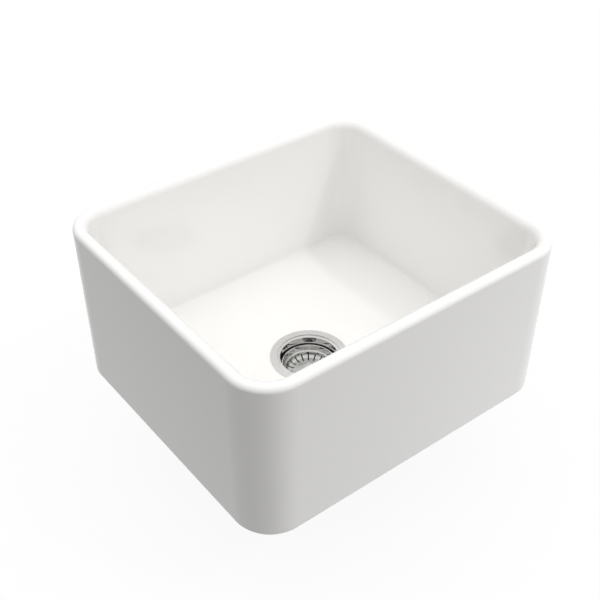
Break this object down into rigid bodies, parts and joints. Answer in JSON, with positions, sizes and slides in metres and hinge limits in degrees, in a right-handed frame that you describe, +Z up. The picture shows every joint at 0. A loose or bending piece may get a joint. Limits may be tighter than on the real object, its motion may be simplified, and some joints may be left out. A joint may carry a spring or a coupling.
{
  "type": "apron front kitchen sink",
  "caption": "White glazed fireclay farmhouse sink with one deep bowl, a plain apron front and a centred steel basket strainer that lifts out and turns.",
  "frame": {"origin": "on the drain's axis, in the plane of the basin's underside", "axes": "+X along the apron, to the right as seen by someone facing it; +Y to the wall behind the sink, so the apron faces -Y; +Z up"},
  "size_m": [0.5078, 0.457, 0.4049],
  "materials": {
    "fireclay": "gloss glaze",
    "satin_steel": "satin",
    "polished_steel": "polished",
    "tube_steel": "drawn",
    "plated_brass": "nickel plated",
    "cast_zinc": "as cast",
    "black_rubber": "matte",
    "soft_seal": "matte",
    "fibre": "matte",
    "white_plastic": "matte"
  },
  "bodies": {
    "sink": {"basin": "fireclay", "flange_seal": "soft_seal", "strainer_cup": "satin_steel", "under_gasket": "black_rubber", "friction_ring": "fibre", "locknut": "cast_zinc", "outlet_neck": "plated_brass", "tailpiece_washer": "white_plastic", "tailpiece": "tube_steel", "coupling_nut": "plated_brass"},
    "collar": {"snap_collar": "white_plastic"},
    "basket": {"basket_bowl": "polished_steel", "basket_seal": "black_rubber", "lift_knob": "polished_steel", "post_washer": "satin_steel", "post_nut": "plated_brass", "basket_post": "satin_steel", "collar_screw": "satin_steel"}
  },
  "joints": [
    {"name": "basket_lift", "type": "slide", "parent": "sink", "child": "collar", "axis": [0, 0, 1], "range_m": [0, 0.07]},
    {"name": "basket_turn", "type": "hinge", "parent": "collar", "child": "basket", "pos_m": [0, 0, 0], "axis": [0, 0, 1], "continuous": true}
  ]
}
